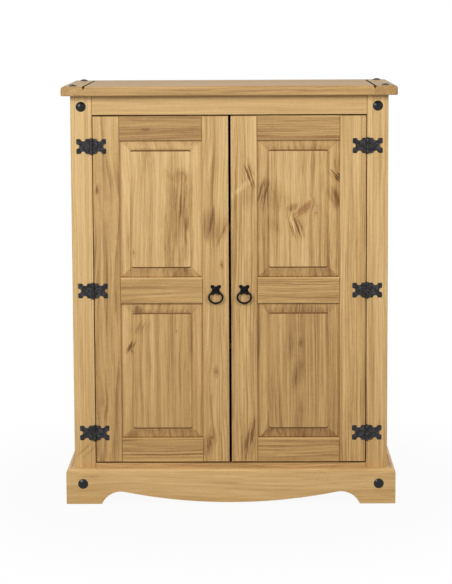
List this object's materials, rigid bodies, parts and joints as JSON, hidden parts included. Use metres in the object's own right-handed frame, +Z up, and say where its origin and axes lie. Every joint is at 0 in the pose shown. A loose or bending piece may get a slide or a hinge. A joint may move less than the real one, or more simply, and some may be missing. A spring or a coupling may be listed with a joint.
{
  "type": "cupboard",
  "caption": "Free-standing pine cupboard with framed, raised-panel doors on black iron butterfly hinges, with ring pulls, domed studs, a shaped plinth and shelves inside.",
  "frame": {"origin": "centre of the bounding box's base, on the floor", "axes": "+X to the right seen from the front, +Y from front to back so that the doors face -Y, +Z up"},
  "size_m": [0.817, 0.4, 1.0385],
  "materials": {
    "waxed_pine": "honey waxed pine, satin",
    "panel_pine": "honey waxed pine, satin, slightly darker",
    "carcass_pine": "honey waxed pine, satin",
    "back_board": "thin pine-faced board, matt",
    "black_iron": "hammered and waxed black iron, satin",
    "zinc_steel": "zinc-plated steel, satin",
    "catch_plastic": "brown moulded plastic, matt"
  },
  "bodies": {
    "carcass": {"back_panel": "back_board", "bottom_board": "carcass_pine", "bottom_rail": "waxed_pine", "corner_blocks": "carcass_pine", "front_post_left": "waxed_pine", "front_post_right": "waxed_pine", "hinge_pins_left": "black_iron", "hinge_pins_right": "black_iron", "iron_studs": "black_iron", "magnetic_catch_left": "catch_plastic", "magnetic_catch_right": "catch_plastic", "plinth_front": "waxed_pine", "plinth_side_left": "waxed_pine", "plinth_side_right": "waxed_pine", "post_hinge_screws": "black_iron", "post_left_leaf_bottom": "black_iron", "post_left_leaf_middle": "black_iron", "post_left_leaf_top": "black_iron", "post_right_leaf_bottom": "black_iron", "post_right_leaf_middle": "black_iron", "post_right_leaf_top": "black_iron", "rear_rail": "carcass_pine", "shelf_lower": "carcass_pine", "shelf_pins": "zinc_steel", "shelf_upper": "carcass_pine", "side_panel_left": "carcass_pine", "side_panel_right": "carcass_pine", "top_board": "waxed_pine", "top_end_left": "waxed_pine", "top_end_right": "waxed_pine", "top_rail": "waxed_pine"},
    "door_left": {"door_left_bottom_rail": "waxed_pine", "door_left_hinge_stile": "waxed_pine", "door_left_leaf_bottom": "black_iron", "door_left_leaf_middle": "black_iron", "door_left_leaf_top": "black_iron", "door_left_lower_panel": "panel_pine", "door_left_meeting_stile": "waxed_pine", "door_left_middle_rail": "waxed_pine", "door_left_screws": "black_iron", "door_left_top_rail": "waxed_pine", "door_left_upper_panel": "panel_pine", "pull_plate_left": "black_iron", "strike_plate_left": "zinc_steel"},
    "door_right": {"door_right_bottom_rail": "waxed_pine", "door_right_hinge_stile": "waxed_pine", "door_right_leaf_bottom": "black_iron", "door_right_leaf_middle": "black_iron", "door_right_leaf_top": "black_iron", "door_right_lower_panel": "panel_pine", "door_right_meeting_stile": "waxed_pine", "door_right_middle_rail": "waxed_pine", "door_right_screws": "black_iron", "door_right_top_rail": "waxed_pine", "door_right_upper_panel": "panel_pine", "pull_plate_right": "black_iron", "strike_plate_right": "zinc_steel"},
    "ring_left": {"pull_ring_left": "black_iron"},
    "ring_right": {"pull_ring_right": "black_iron"}
  },
  "joints": [
    {"name": "door_left_hinge", "type": "hinge", "parent": "carcass", "child": "door_left", "pos_m": [-0.337, -0.1767, 0.5312], "axis": [0, 0, -1], "range_deg": [0, 165]},
    {"name": "door_right_hinge", "type": "hinge", "parent": "carcass", "child": "door_right", "pos_m": [0.337, -0.1767, 0.5312], "axis": [0, 0, 1], "range_deg": [0, 165]},
    {"name": "ring_left_swing", "type": "hinge", "parent": "door_left", "child": "ring_left", "pos_m": [-0.035, -0.18, 0.5288], "axis": [-1, 0, 0], "range_deg": [0, 100]},
    {"name": "ring_right_swing", "type": "hinge", "parent": "door_right", "child": "ring_right", "pos_m": [0.035, -0.18, 0.5288], "axis": [-1, 0, 0], "range_deg": [0, 100]}
  ]
}
